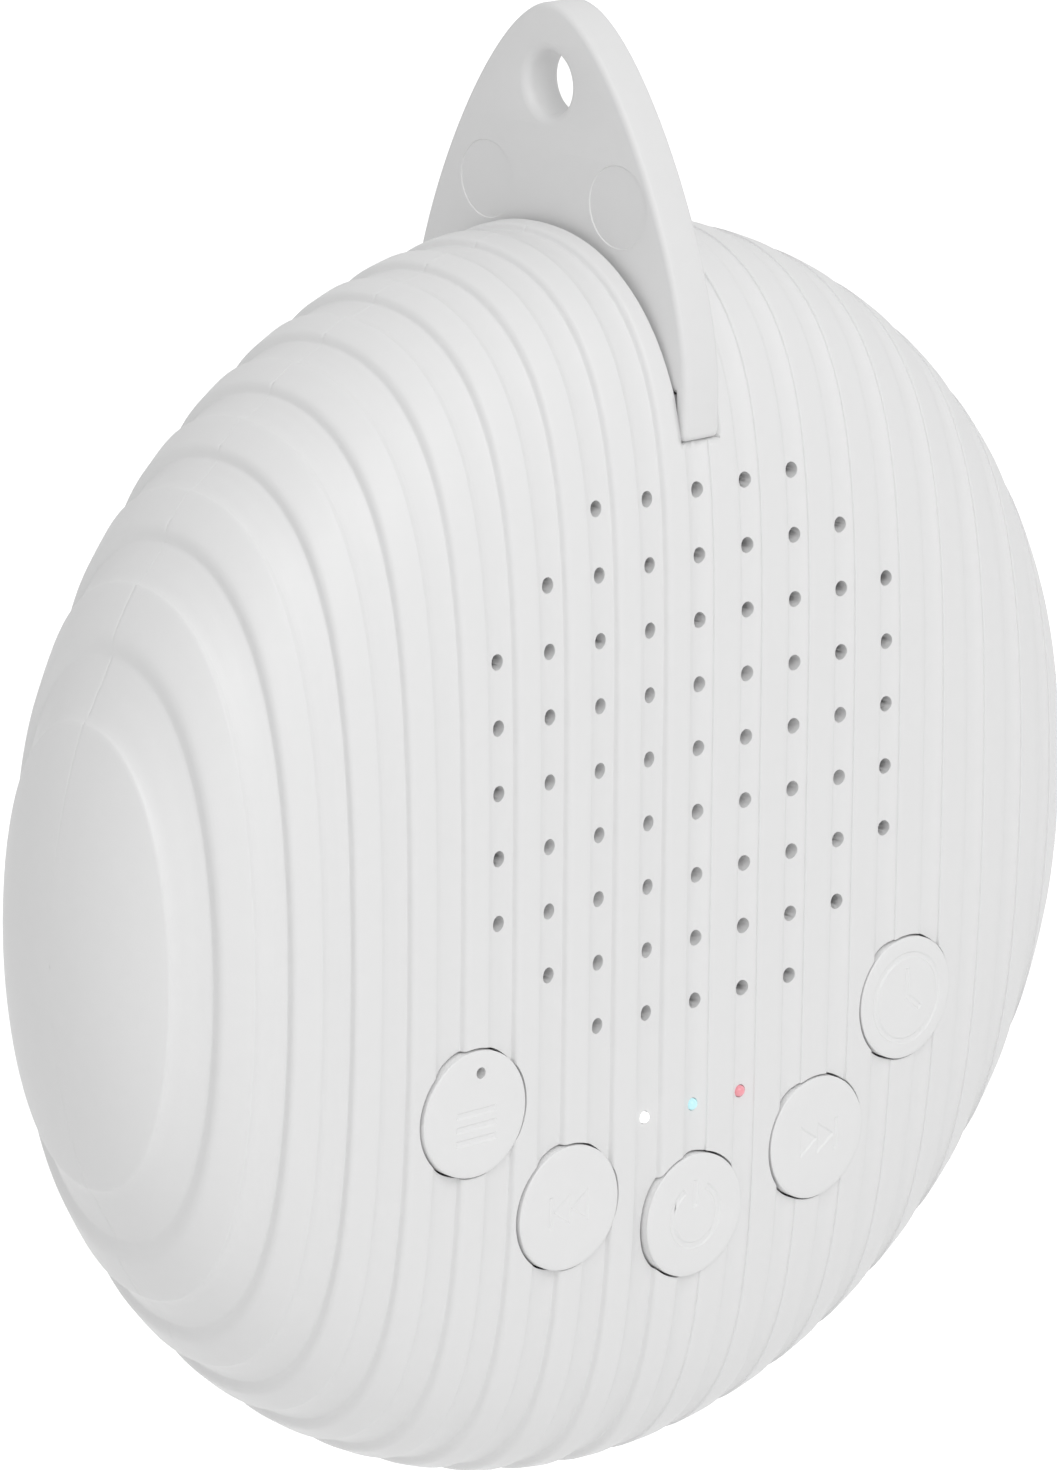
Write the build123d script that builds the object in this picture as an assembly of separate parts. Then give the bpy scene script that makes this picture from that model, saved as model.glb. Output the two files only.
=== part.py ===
"""Portable white noise sound machine: a ribbed pebble-shaped body on a hanging tab.

Millimetres, +Z up, front towards -Y. Pieces are modelled about the centre of the round
body and saved about the hanging hole, the point that the whole thing hangs from.
"""
import os
from math import cos, hypot, pi, radians, sin

from build123d import *

# ---- the round body ---------------------------------------------------------------------
body_radius = 49.6
body_half_depth = 16.65
edge_power = 5.73
depth_power = 2.14
outline_steps = 8
wall = 2.2
rim_width = 7.4
crown_width = 20.0
crown_turn = 16.4
lining = 0.8

rib_pitch = 5.0
groove_width = 2.7
groove_depth = 0.5
end_land = 2.0

tongue_step = 0.7
tongue_depth = 1.5

# ---- grille, buttons and windows -----------------------------------------------------------
grille_height = 11.25
hole_pitch = 5.0
hole_radius = 0.6

button_names = ("source", "previous", "power", "next", "timer")
button_circle_radius = 26.0
button_spread = 30.0
button_radius = 4.95
button_travel = 0.6
button_proud = 0.35
button_flange = 0.9
button_flange_thickness = 1.0
button_skin = 1.0
button_skirt = 0.9
button_collar = 1.2
stem_radius = 1.5
pinhole_radius = 0.45
pinhole_rise = 3.2
pinhole_side = 0.4

window_pitch = 5.0
window_drop = 17.1
window_radius = 0.5
window_sleeve = 0.7
guide_inset = 0.15
guide_bar = 1.2
light_width = 2.0
light_height = 1.2
light_thickness = 1.0

# ---- hanging tab -----------------------------------------------------------------------
tab_thickness = 3.6
tab_offset = 0.45
tab_rise = 16.6
tab_root_margin = 2.35
tab_foot_drop = 3.6
tab_foot_depth = 1.3
tab_proud = 0.25
tab_crest_fullness = 0.41
tab_edge_round = 0.5
hang_hole_rise = 10.4
hang_hole_radius = 2.4
hang_hole_round = 0.8
cross_bar_radius = 2.5
cross_bar_sink = 7.6
cross_bar_length = 14.0
saddle_thickness = 1.5
saddle_inset = 0.5
saddle_depth = 9.0

# ---- speaker ---------------------------------------------------------------------------
speaker_radius = 25.0
speaker_seat_sink = 1.25
speaker_seat_width = 1.7
speaker_ring_wall = 1.5
speaker_flange = 1.0
cloth_thickness = 0.3
gasket_thickness = 0.8
gasket_width = 2.1
basket_width = 3.0
basket_depth = 6.0
basket_metal = 0.8
basket_windows = 4
basket_window_width = 10.0
basket_window_margin = 1.0
cone_sheet = 0.35
cone_depth = 2.8
surround_width = 2.6
surround_roll = 1.1
dome_rise = 2.1
dome_lip = 1.6
coil_radius = 5.5
coil_thickness = 0.4
coil_reach = 0.9
pole_gap = 0.3
plate_thickness = 1.2
motor_radius = 11.5
magnet_bore = 7.7
magnet_thickness = 3.6

# ---- board, switches, lights and sockets ------------------------------------------------------
board_front = 0.4
board_thickness = 1.6
board_margin = 8.9
board_ring_gap = 0.8
board_top_drop = 8.0
board_tongue_width = 28.0
switch_side = 6.0
switch_height = 3.5
switch_well = 2.2
plunger_radius = 1.7
plunger_proud = 1.3
plunger_length = 2.4

chip_side = 7.0
chip_thickness = 1.2
chip_offset = 14.0
chip_drop = 24.0
amplifier_width = 5.0
amplifier_height = 4.0
amplifier_thickness = 1.5
amplifier_drop = 22.5

socket_offset = 8.0
socket_sink = 1.6
charge_width = 8.9
charge_height = 3.2
charge_length = 7.4
charge_metal = 0.3
charge_blade_width = 6.7
charge_blade_thickness = 0.7
charge_blade_sink = 1.0
jack_width = 6.0
jack_height = 5.0
jack_length = 12.0
jack_nose_radius = 2.5
jack_nose_length = 4.5
jack_bore_radius = 1.8
jack_bore_depth = 14.0

# ---- battery and screws ------------------------------------------------------------------
battery_width = 50.0
battery_height = 40.0
battery_thickness = 6.0
battery_corner = 2.0
battery_edge_round = 0.8
battery_drop = 6.0
pad_thickness = 0.8
pad_margin = 2.0
tray_rib_height = 1.45
tray_rib_spacing = 16.25
tray_wall = 1.2
tray_lip = 2.5

case_screw_margin = 4.9
case_screw_angle = 40.0
case_screw_radius = 1.1
case_screw_reach = 6.5
case_head_seat = 4.2
case_boss_radius = 2.9
case_tube_radius = 3.4
board_screw_radius = 1.0
board_screw_reach = 4.5
board_screw_margin = 3.5
board_screw_angle = 20.0
board_post_radius = 2.6
screw_head_radius = 2.0
screw_head_height = 1.6
screw_end_room = 1.5

# ---- clearances -----------------------------------------------------------------------
sliding_gap = 0.05
seam_gap = 0.1
rest_gap = 0.1
button_gap = 0.15
slot_gap = 0.15
loose_gap = 0.3

# ---- worked out from the sizes above ----------------------------------------------------------
reach = 2 * body_radius
past_seam = body_half_depth / 3
inner_radius = body_radius - wall
inner_half_depth = body_half_depth - wall
floor_radius = body_radius - groove_depth
floor_half_depth = body_half_depth - groove_depth
grooves_each_side = int((body_radius - end_land - groove_width / 2) / rib_pitch)

hang_hole_height = body_radius + hang_hole_rise
cross_bar_height = body_radius - cross_bar_sink
tab_root_height = grille_height + speaker_radius + tab_root_margin
tab_foot_height = tab_root_height - tab_foot_drop
foot_share = tab_foot_height / body_radius
tab_half_depth = body_half_depth * (1 - foot_share ** edge_power) ** (1 / depth_power) + tab_proud
tab_foot_floor = tab_half_depth - tab_foot_depth

seat_level = speaker_seat_sink - inner_half_depth
cloth_back = seat_level + cloth_thickness
gasket_back = cloth_back + gasket_thickness
flange_front = gasket_back + cone_sheet
flange_back = flange_front + speaker_flange
basket_floor = flange_back + basket_depth
plate_front = basket_floor + basket_metal
magnet_front = plate_front + plate_thickness
yoke_front = magnet_front + magnet_thickness
speaker_recess_radius = speaker_radius + button_gap
cone_neck = basket_floor - cone_depth

button_seat = seat_level - button_gap
button_hole_radius = button_radius + button_gap
button_pocket_radius = button_hole_radius + button_flange
button_flange_face = button_seat + rest_gap
button_flange_rear = button_flange_face + button_flange_thickness
collar_back = button_flange_rear + button_travel + rest_gap

board_back = board_front + board_thickness
board_radius = inner_radius - board_margin
switch_face = board_front - switch_height
plunger_tip = switch_face - plunger_proud
socket_face_drop = body_radius - socket_sink
tray_level = inner_half_depth - tray_rib_height
case_screw_circle = inner_radius - case_screw_margin
case_head_recess = screw_head_radius + loose_gap


# ---- shapes used by more than one piece ----------------------------------------------------
def slice_points(x, radius, half_depth):
    """Front outline of the pebble in the plane at x, as (depth, height) from rim to crest."""
    crest = half_depth * (1 - (abs(x) / radius) ** edge_power) ** (1 / depth_power)
    points = []
    for step in range(outline_steps):
        y = crest * sin(pi / 2 * step / outline_steps)
        out = radius * (1 - (y / half_depth) ** depth_power) ** (1 / edge_power)
        points.append((-y, max(out * out - x * x, 0.0) ** 0.5))
    return points + [(-crest, 0.0)]


def slice_outline(x, radius, half_depth):
    """Closed wire round the front half of the pebble's section at x."""
    upper = slice_points(x, radius, half_depth)
    lower = [(y, -z) for y, z in reversed(upper[:-1])]
    plane = Plane.YZ.offset(x)
    curve = Spline(*[plane.from_local_coords(point) for point in upper + lower])
    return Wire([curve.edge(), Line(curve @ 1, curve @ 0).edge()])


def slab(x0, x1, radius, half_depth):
    """Front half of the pebble between two planes across it."""
    return Solid.make_loft([slice_outline(x, radius, half_depth) for x in (x0, x1)], True)


def pebble(radius, half_depth):
    """Front half of the round pebble: a superellipse turned about Y."""
    curve = Spline(*[(out, y) for y, out in slice_points(0.0, radius, half_depth)])
    sides = Polyline((0, -half_depth), (0, 0), (radius, 0))
    return revolve(make_face(Curve() + [curve, sides]), axis=Axis.Y)


def hollow(grown):
    """Front half of the inside, and a little past the seam: flat middle, crown arc, rim arc."""
    turn = radians(crown_turn)
    front = -(inner_half_depth + grown)
    flat = Line((0, front), (inner_radius - rim_width - crown_width, front))
    crown = JernArc(flat @ 1, (1, 0), crown_width / sin(turn), crown_turn)
    rim = JernArc(crown @ 1, crown % 1, (rim_width + grown) / (1 - sin(turn)), 90 - crown_turn)
    sides = Polyline(rim @ 1, (inner_radius + grown, past_seam), (0, past_seam), (0, front))
    return revolve(make_face(Curve() + [flat, crown, rim, sides]), axis=Axis.Y)


def rod(x, z, radius, y_front, y_back):
    """Cylinder along Y between two depths."""
    return extrude(Plane(origin=(x, y_front, z), z_dir=(0, 1, 0)) * Circle(radius), y_back - y_front)


def tube(x, z, outer, inner, y_front, y_back):
    """Hollow cylinder along Y between two depths."""
    return rod(x, z, outer, y_front, y_back) - rod(x, z, inner, y_front, y_back)


def block(x0, x1, y0, y1, z0, z1):
    """Box between two corners."""
    return Pos((x0 + x1) / 2, (y0 + y1) / 2, (z0 + z1) / 2) * Box(x1 - x0, y1 - y0, z1 - z0)


def bar_along_x(z, radius, length):
    """Cylinder along X, centred over the body at a height."""
    return Pos(0, 0, z) * Rot(0, 90, 0) * Cylinder(radius, length)


def turned(points):
    """Ring or disc about the grille's axis from a closed outline of (radius, depth) points."""
    return Pos(0, 0, grille_height) * revolve(make_face(Polyline(*points, close=True)), axis=Axis.Y)


# ---- where repeated features stand ------------------------------------------------------------
def button_centres():
    """Centre of each button, left to right, on a circle below the middle."""
    centres = []
    for index in range(len(button_names)):
        turn = radians((index - (len(button_names) - 1) / 2) * button_spread)
        centres.append((button_circle_radius * sin(turn), -button_circle_radius * cos(turn)))
    return centres


def grille_points():
    """Hole centres: a square grid down the middle grooves, as far out as the speaker's seat."""
    edge = speaker_radius - speaker_seat_width - hole_radius
    across = int(edge / rib_pitch)
    up = int(edge / hole_pitch)
    columns = [step * rib_pitch for step in range(-across, across + 1)]
    rows = [step * hole_pitch for step in range(-up, up + 1)]
    return [(x, grille_height + row) for x in columns for row in rows if hypot(x, row) <= edge]


def window_points():
    """Indicator windows, in the three middle grooves."""
    return [(step * window_pitch, -window_drop) for step in (-1, 0, 1)]


def case_screw_points():
    """Four screws close the shells, near the rim."""
    x = case_screw_circle * cos(radians(case_screw_angle))
    z = case_screw_circle * sin(radians(case_screw_angle))
    return [(x, z), (-x, z), (-x, -z), (x, -z)]


def board_screw_points():
    """Three screws hold the board: two high at the sides, one low in the middle."""
    circle = board_radius - board_screw_margin
    x = circle * cos(radians(board_screw_angle))
    z = -circle * sin(radians(board_screw_angle))
    return [(-x, z), (x, z), (0.0, -circle)]


# ---- the two shells ----------------------------------------------------------------------
def ribbed_half():
    """Front half of the pebble as slices across it: lands, grooves between, and two ends."""
    slices = []
    for index in range(-grooves_each_side, grooves_each_side + 1):
        left = index * rib_pitch - groove_width / 2
        right = left + groove_width
        slices.append(slab(left, right, floor_radius, floor_half_depth))
        if index < grooves_each_side:
            slices.append(slab(right, left + rib_pitch, body_radius, body_half_depth))
    end = grooves_each_side * rib_pitch + groove_width / 2
    middle = block(-end, end, -reach, reach, -reach, reach)
    return Part() + slices + (pebble(body_radius, body_half_depth) - middle)


def tongue(clearance):
    """Thin ring on the back shell that locates the front shell at the seam."""
    outer = inner_radius + tongue_step + clearance
    return tube(0, 0, outer, inner_radius - tongue_step, -tongue_depth - clearance, tongue_step)


def tab_slot():
    """Slot for the tab, beside the middle: shallow where its feet lie, right through above."""
    left = tab_offset - tab_thickness / 2 - slot_gap
    right = left + tab_thickness + 2 * slot_gap
    floor = tab_foot_floor - slot_gap
    foot = tab_foot_height - slot_gap
    root = tab_root_height - slot_gap
    front_foot = block(left, right, -reach, -floor, foot, reach)
    back_foot = block(left, right, floor, reach, foot, reach)
    return [front_foot, back_foot, block(left, right, -floor, floor, root, reach)]


def saddles(y_front, y_back):
    """Pair of ribs inside the top wall that hold the tab's cross bar."""
    far = cross_bar_length / 2 - saddle_inset
    near = far - saddle_thickness
    low = cross_bar_height - cross_bar_radius - saddle_thickness
    right = block(near, far, y_front, y_back, low, reach)
    left = block(-far, -near, y_front, y_back, low, reach)
    return right + left - bar_along_x(cross_bar_height, cross_bar_radius + rest_gap, reach)


def front_shell(front_half):
    """Front half: grille, button wells, windows, speaker seat, bosses and posts."""
    front = -inner_half_depth - lining
    seat_inner = speaker_radius - speaker_seat_width
    seat_outer = speaker_recess_radius + speaker_ring_wall
    fittings = [tube(0, grille_height, seat_outer, seat_inner, front, flange_back)]
    for x, z in button_centres():
        fittings.append(rod(x, z, button_pocket_radius + button_collar, front, collar_back))
    for x, z in window_points():
        fittings.append(rod(x, z, window_radius + window_sleeve, front, collar_back))
    for x, z in case_screw_points():
        fittings.append(rod(x, z, case_boss_radius, front, -seam_gap))
    for x, z in board_screw_points():
        fittings.append(rod(x, z, board_post_radius, front, board_front))
    fittings.append(saddles(-saddle_depth, -seam_gap))
    shell = front_half - hollow(0.0) + ((Part() + fittings) & hollow(lining))
    cuts = [rod(0, grille_height, speaker_recess_radius, seat_level, reach), tongue(seam_gap)]
    for x, z in button_centres():
        cuts.append(rod(x, z, button_hole_radius, -reach, reach))
        cuts.append(rod(x, z, button_pocket_radius, button_seat, reach))
    for x, z in window_points():
        cuts.append(rod(x, z, window_radius, -reach, reach))
    for x, z in case_screw_points():
        tip = -case_screw_reach - screw_end_room
        cuts.append(rod(x, z, case_screw_radius + sliding_gap, tip, reach))
    for x, z in board_screw_points():
        tip = -board_screw_reach - screw_end_room
        cuts.append(rod(x, z, board_screw_radius + sliding_gap, tip, reach))
    for x, z in grille_points():
        cuts.append(rod(x, z, hole_radius, -reach, seat_level))
    return shell - cuts - tab_slot()


def back_shell(back_half):
    """Back half: screw tubes, battery tray, socket openings and the other saddles."""
    back = inner_half_depth + lining
    fittings = [saddles(seam_gap, saddle_depth)]
    for x, z in case_screw_points():
        fittings.append(rod(x, z, case_tube_radius, seam_gap, back))
    low = -battery_drop - battery_height / 2
    high = -battery_drop + battery_height / 2
    side = battery_width / 2
    for x in (-tray_rib_spacing, 0.0, tray_rib_spacing):
        fittings.append(block(x - tray_wall / 2, x + tray_wall / 2, tray_level, back, low, high))
    gap = loose_gap
    rim = gap + tray_wall
    tray = block(-side - rim, side + rim, tray_level - tray_lip, back, low - rim, high + rim)
    fittings.append(tray - block(-side - gap, side + gap, -reach, reach, low - gap, high + gap))
    inside = (Part() + fittings) & mirror(hollow(lining), about=Plane.XZ)
    shell = back_half - mirror(hollow(0.0), about=Plane.XZ) + inside + tongue(0.0)
    cuts = []
    for x, z in case_screw_points():
        cuts.append(rod(x, z, case_screw_radius + sliding_gap, -reach, reach))
        cuts.append(rod(x, z, case_head_recess, case_head_seat, reach))
    charge = SlotOverall(charge_width + 2 * gap, charge_height + 2 * gap)
    cuts.append(extrude(Plane.XY * Pos(-socket_offset, board_back + charge_height / 2) * charge, -reach))
    nose = Circle(jack_nose_radius + gap)
    cuts.append(extrude(Plane.XY * Pos(socket_offset, board_back + jack_height / 2) * nose, -reach))
    return shell - cuts - tab_slot()


# ---- hanging tab -------------------------------------------------------------------------
def hang_tab():
    """Arched plate in the slot, with feet in both shells, a cross bar and a rounded hole."""
    wide = tab_half_depth
    root = tab_root_height
    foot = tab_foot_height
    crest = body_radius + tab_rise
    shoulder = root + (crest - root) / 3
    right = Bezier((wide, root), (wide, shoulder), (tab_crest_fullness * wide, crest), (0, crest))
    left = mirror(right, about=Plane.YZ)
    inner = tab_foot_floor
    feet = Polyline((-wide, root), (-wide, foot), (-inner, foot), (-inner, root),
                    (inner, root), (inner, foot), (wide, foot), (wide, root))
    outline = make_face(Curve() + [right, left, feet])
    plate = extrude(Plane.YZ * outline, tab_thickness / 2, both=True)
    rims = plate.edges().filter_by(GeomType.BEZIER) + plate.edges().filter_by(GeomType.BSPLINE)
    plate = fillet(rims, tab_edge_round)
    plate = plate - bar_along_x(hang_hole_height, hang_hole_radius, reach)
    plate = fillet(plate.edges().filter_by(GeomType.CIRCLE), hang_hole_round)
    return Pos(tab_offset, 0, 0) * plate + bar_along_x(cross_bar_height, cross_bar_radius, cross_bar_length)


# ---- buttons and switches ------------------------------------------------------------------
def push_button(x, z, pinhole):
    """Cap curved like the body and a little proud of it, a flange and a stem to the switch."""
    cap_rear = button_flange_face - button_skin
    face = pebble(body_radius + button_proud, body_half_depth + button_proud)
    cap = rod(x, z, button_radius, -reach, button_flange_rear) & face
    flange = rod(x, z, button_radius + button_flange, button_flange_face, button_flange_rear)
    hollow_rear = tube(x, z, button_radius - button_skirt, stem_radius, cap_rear, 0)
    button = cap + flange - hollow_rear + rod(x, z, stem_radius, cap_rear, plunger_tip)
    if pinhole:
        button = button - rod(x + pinhole_side, z + pinhole_rise, pinhole_radius, -reach, 0)
    return button


def switch_housing(x, z):
    """Square push-switch body on the board with a well for its plunger."""
    half = switch_side / 2
    housing = block(x - half, x + half, switch_face, board_front, z - half, z + half)
    return housing - rod(x, z, plunger_radius + sliding_gap, switch_face, switch_face + switch_well)


def switch_plunger(x, z):
    """Plunger that the button's stem rests on."""
    return rod(x, z, plunger_radius, plunger_tip, plunger_tip + plunger_length)


# ---- board, lights and sockets -----------------------------------------------------------
def main_board():
    """Crescent board under the speaker, with a tongue that carries the two sockets."""
    half = board_tongue_width / 2
    tongue_end = jack_nose_length - socket_face_drop
    disc = rod(0, 0, board_radius, board_front, board_back)
    lower = block(-reach, reach, board_front, board_back, -reach, -board_top_drop)
    arm = block(-half, half, board_front, board_back, tongue_end, -board_top_drop)
    board = (disc & lower) + arm
    board = board - rod(0, grille_height, speaker_recess_radius + board_ring_gap, -reach, reach)
    for x, z in board_screw_points():
        board = board - rod(x, z, board_screw_radius + sliding_gap, -reach, reach)
    return board


def light_guide():
    """Clear moulding: one pin per window on a common bar in front of the lights."""
    bar_back = board_front - light_thickness - loose_gap
    face = guide_inset - floor_half_depth
    pins = [rod(x, z, window_radius - sliding_gap, face, bar_back) for x, z in window_points()]
    end = window_pitch + guide_bar
    low = -window_drop - guide_bar
    return Part() + pins + block(-end, end, bar_back - guide_bar, bar_back, low, low + 2 * guide_bar)


def indicator_lights():
    """Three surface-mounted lights behind the guide."""
    half_width = light_width / 2
    half_height = light_height / 2
    front = board_front - light_thickness
    lights = []
    for x, z in window_points():
        low = z - half_height
        lights.append(block(x - half_width, x + half_width, front, board_front, low, low + light_height))
    return Part() + lights


def chip(x, z, width, height, thickness):
    """Flat package on the back of the board."""
    low = z - height / 2
    return block(x - width / 2, x + width / 2, board_back, board_back + thickness, low, low + height)


def charge_socket():
    """Stadium-shaped charging socket with a blade inside its mouth."""
    y = board_back + charge_height / 2
    mouth = Plane(origin=(-socket_offset, y, -socket_face_drop), x_dir=(1, 0, 0), z_dir=(0, 0, 1))
    body = extrude(mouth * SlotOverall(charge_width, charge_height), charge_length)
    depth = charge_length - charge_blade_sink
    inside = SlotOverall(charge_width - 2 * charge_metal, charge_height - 2 * charge_metal)
    blade = Rectangle(charge_blade_width, charge_blade_thickness)
    return body - extrude(mouth * inside, depth) + extrude(mouth.offset(charge_blade_sink) * blade, depth)


def audio_jack():
    """Box-shaped audio socket with a round nose and a blind bore."""
    y = board_back + jack_height / 2
    half = jack_width / 2
    low = jack_nose_length - socket_face_drop
    body = block(socket_offset - half, socket_offset + half, board_back, board_back + jack_height,
                 low, low + jack_length)
    mouth = Plane(origin=(socket_offset, y, -socket_face_drop), x_dir=(1, 0, 0), z_dir=(0, 0, 1))
    body = body + extrude(mouth * Circle(jack_nose_radius), jack_nose_length + rest_gap)
    return body - extrude(mouth * Circle(jack_bore_radius), jack_bore_depth)


# ---- speaker ---------------------------------------------------------------------------
def grille_cloth():
    """Round of dust cloth on the seat behind the grille."""
    return rod(0, grille_height, speaker_radius - rest_gap, seat_level, cloth_back)


def speaker_gasket():
    """Foam ring between the cloth and the speaker's rim."""
    outer = speaker_radius - rest_gap
    return tube(0, grille_height, outer, outer - gasket_width, cloth_back, gasket_back)


def speaker_basket():
    """Pressed frame: flange, windowed cone wall and a floor that holds the magnet."""
    inner = speaker_radius - basket_width
    outline = [(inner + basket_metal, flange_front), (speaker_radius, flange_front),
               (speaker_radius, flange_back), (inner + 2 * basket_metal, flange_back),
               (motor_radius + basket_metal, basket_floor), (motor_radius + basket_metal, plate_front),
               (magnet_bore, plate_front), (magnet_bore, basket_floor),
               (motor_radius, basket_floor), (inner + basket_metal, flange_back)]
    basket = turned(outline)
    half = basket_window_width / 2
    low = flange_back + basket_window_margin
    high = basket_floor - basket_window_margin
    for index in range(basket_windows):
        turn = Rot(0, 360 / basket_windows * (index + 0.5), 0)
        basket = basket - Pos(0, 0, grille_height) * turn * block(-half, half, low, high, 0, reach)
    return basket


def speaker_cone():
    """Paper cone with a rolled rubber edge whose lip lies on the basket's flange."""
    inner = speaker_radius - basket_width
    crest = inner - surround_width / 2
    roll = inner - surround_width
    throat = coil_radius + coil_thickness
    neck = cone_neck - cone_sheet
    return turned([(speaker_radius, gasket_back), (speaker_radius, flange_front), (inner, flange_front),
                   (crest, flange_front + surround_roll), (roll, flange_front + cone_sheet),
                   (throat, neck + cone_sheet), (throat, neck - cone_sheet), (roll, gasket_back),
                   (crest, gasket_back + surround_roll), (inner, gasket_back)])


def dust_cap():
    """Dome that closes the middle of the cone."""
    rim = coil_radius + dome_lip
    base = cone_neck - dome_lip
    crest = base - dome_rise
    outer = Spline((0, crest), (rim, base), tangents=[(1, 0), (1, 1)])
    inner = Spline((rim - cone_sheet, base), (0, crest + cone_sheet), tangents=[(-1, -1), (-1, 0)])
    sides = [Line(outer @ 1, inner @ 0), Line(inner @ 1, outer @ 0)]
    return Pos(0, 0, grille_height) * revolve(make_face(Curve() + [outer, inner] + sides), axis=Axis.Y)


def voice_coil():
    """Thin tube from the cone's neck into the magnet gap."""
    outer = coil_radius + coil_thickness
    return tube(0, grille_height, outer, coil_radius, cone_neck - cone_sheet, plate_front + coil_reach)


def top_plate():
    """Steel ring on the front of the magnet."""
    bore = coil_radius + coil_thickness + pole_gap
    return tube(0, grille_height, motor_radius - basket_metal, bore, plate_front, magnet_front)


def magnet():
    """Ring magnet between the top plate and the yoke."""
    return tube(0, grille_height, motor_radius, magnet_bore, magnet_front, yoke_front)


def yoke():
    """Back plate with the pole piece that reaches into the coil."""
    back = yoke_front + plate_thickness
    plate = rod(0, grille_height, motor_radius - basket_metal, yoke_front, back)
    return plate + rod(0, grille_height, coil_radius - pole_gap, plate_front, back)


# ---- battery and screws ------------------------------------------------------------------
def battery():
    """Flat pouch cell in the tray on the back shell."""
    back = tray_level - pad_thickness
    face = Plane(origin=(0, back, -battery_drop), x_dir=(1, 0, 0), z_dir=(0, -1, 0))
    cell = extrude(face * RectangleRounded(battery_width, battery_height, battery_corner), battery_thickness)
    layers = cell.edges().group_by(Axis.Y)
    return fillet(layers[0] + layers[-1], battery_edge_round)


def battery_pad():
    """Foam pad between the cell and the tray ribs."""
    face = Plane(origin=(0, tray_level, -battery_drop), x_dir=(1, 0, 0), z_dir=(0, -1, 0))
    width = battery_width - 2 * pad_margin
    return extrude(face * Rectangle(width, battery_height - 2 * pad_margin), pad_thickness)


def screws(points, head_seat, shank_radius, tip):
    """Pan-head screws from the back, head on its seat and shank forward to the tip."""
    pieces = []
    for x, z in points:
        head = rod(x, z, screw_head_radius, head_seat, head_seat + screw_head_height)
        pieces.append(head + rod(x, z, shank_radius, tip, head_seat))
    return Part() + pieces


# ---- every piece, written as its own file ---------------------------------------------------
def save(node, shape):
    """Move a piece so that the hanging hole is at the origin, and write it."""
    shape = Pos(-tab_offset, 0, -hang_hole_height) * shape
    shape.label = node
    export_step(shape, f"parts/{node}.step")


os.makedirs("parts", exist_ok=True)
half_body = ribbed_half()
save("front_shell", front_shell(half_body))
save("back_shell", back_shell(mirror(half_body, about=Plane.XZ)))
save("hang_tab", hang_tab())
for name, (x, z) in zip(button_names, button_centres()):
    save(f"{name}_button", push_button(x, z, pinhole=name == "source"))
    save(f"{name}_switch", switch_housing(x, z))
    save(f"{name}_plunger", switch_plunger(x, z))
save("main_board", main_board())
save("light_guide", light_guide())
save("indicator_lights", indicator_lights())
save("sound_chip", chip(-chip_offset, -chip_drop, chip_side, chip_side, chip_thickness))
amplifier_size = (amplifier_width, amplifier_height, amplifier_thickness)
save("amplifier_chip", chip(chip_offset, -amplifier_drop, *amplifier_size))
save("charge_socket", charge_socket())
save("audio_jack", audio_jack())
save("grille_cloth", grille_cloth())
save("speaker_gasket", speaker_gasket())
save("speaker_basket", speaker_basket())
save("speaker_cone", speaker_cone())
save("dust_cap", dust_cap())
save("voice_coil", voice_coil())
save("top_plate", top_plate())
save("magnet", magnet())
save("yoke", yoke())
save("battery", battery())
save("battery_pad", battery_pad())
save("shell_screws", screws(case_screw_points(), case_head_seat, case_screw_radius, -case_screw_reach))
save("board_screws", screws(board_screw_points(), board_back, board_screw_radius, -board_screw_reach))
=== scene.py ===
from math import cos, pi, radians, sin

import bmesh
import bpy
import numpy as np
from mathutils import Matrix, Vector


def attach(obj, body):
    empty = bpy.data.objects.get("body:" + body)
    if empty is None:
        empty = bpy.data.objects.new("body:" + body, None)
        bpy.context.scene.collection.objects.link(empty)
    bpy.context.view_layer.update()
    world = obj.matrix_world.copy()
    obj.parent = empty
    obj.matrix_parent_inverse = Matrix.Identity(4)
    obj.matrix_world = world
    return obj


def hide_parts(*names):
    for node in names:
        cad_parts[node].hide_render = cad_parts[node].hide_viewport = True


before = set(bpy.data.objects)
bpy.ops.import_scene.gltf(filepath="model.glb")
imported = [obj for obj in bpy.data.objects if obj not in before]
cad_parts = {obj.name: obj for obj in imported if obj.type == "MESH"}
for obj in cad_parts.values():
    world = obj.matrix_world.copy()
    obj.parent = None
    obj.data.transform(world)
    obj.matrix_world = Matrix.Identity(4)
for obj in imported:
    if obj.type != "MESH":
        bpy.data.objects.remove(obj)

for spare in ("Cube", "Light", "Camera"):
    if spare in bpy.data.objects:
        bpy.data.objects.remove(bpy.data.objects[spare])
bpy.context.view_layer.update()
mm = 0.001

# ---- Front half of the case --------------------------------------------------------------------
# A deep moulding of white ABS, one half of the pebble, with its inside as packed. Grooves run round
# it from top to bottom, each with one steep wall and one soft one. Speaker holes, button wells,
# light windows and half of the tab's slot go through it.
centre_x, centre_z = -0.45, -60.0
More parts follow.
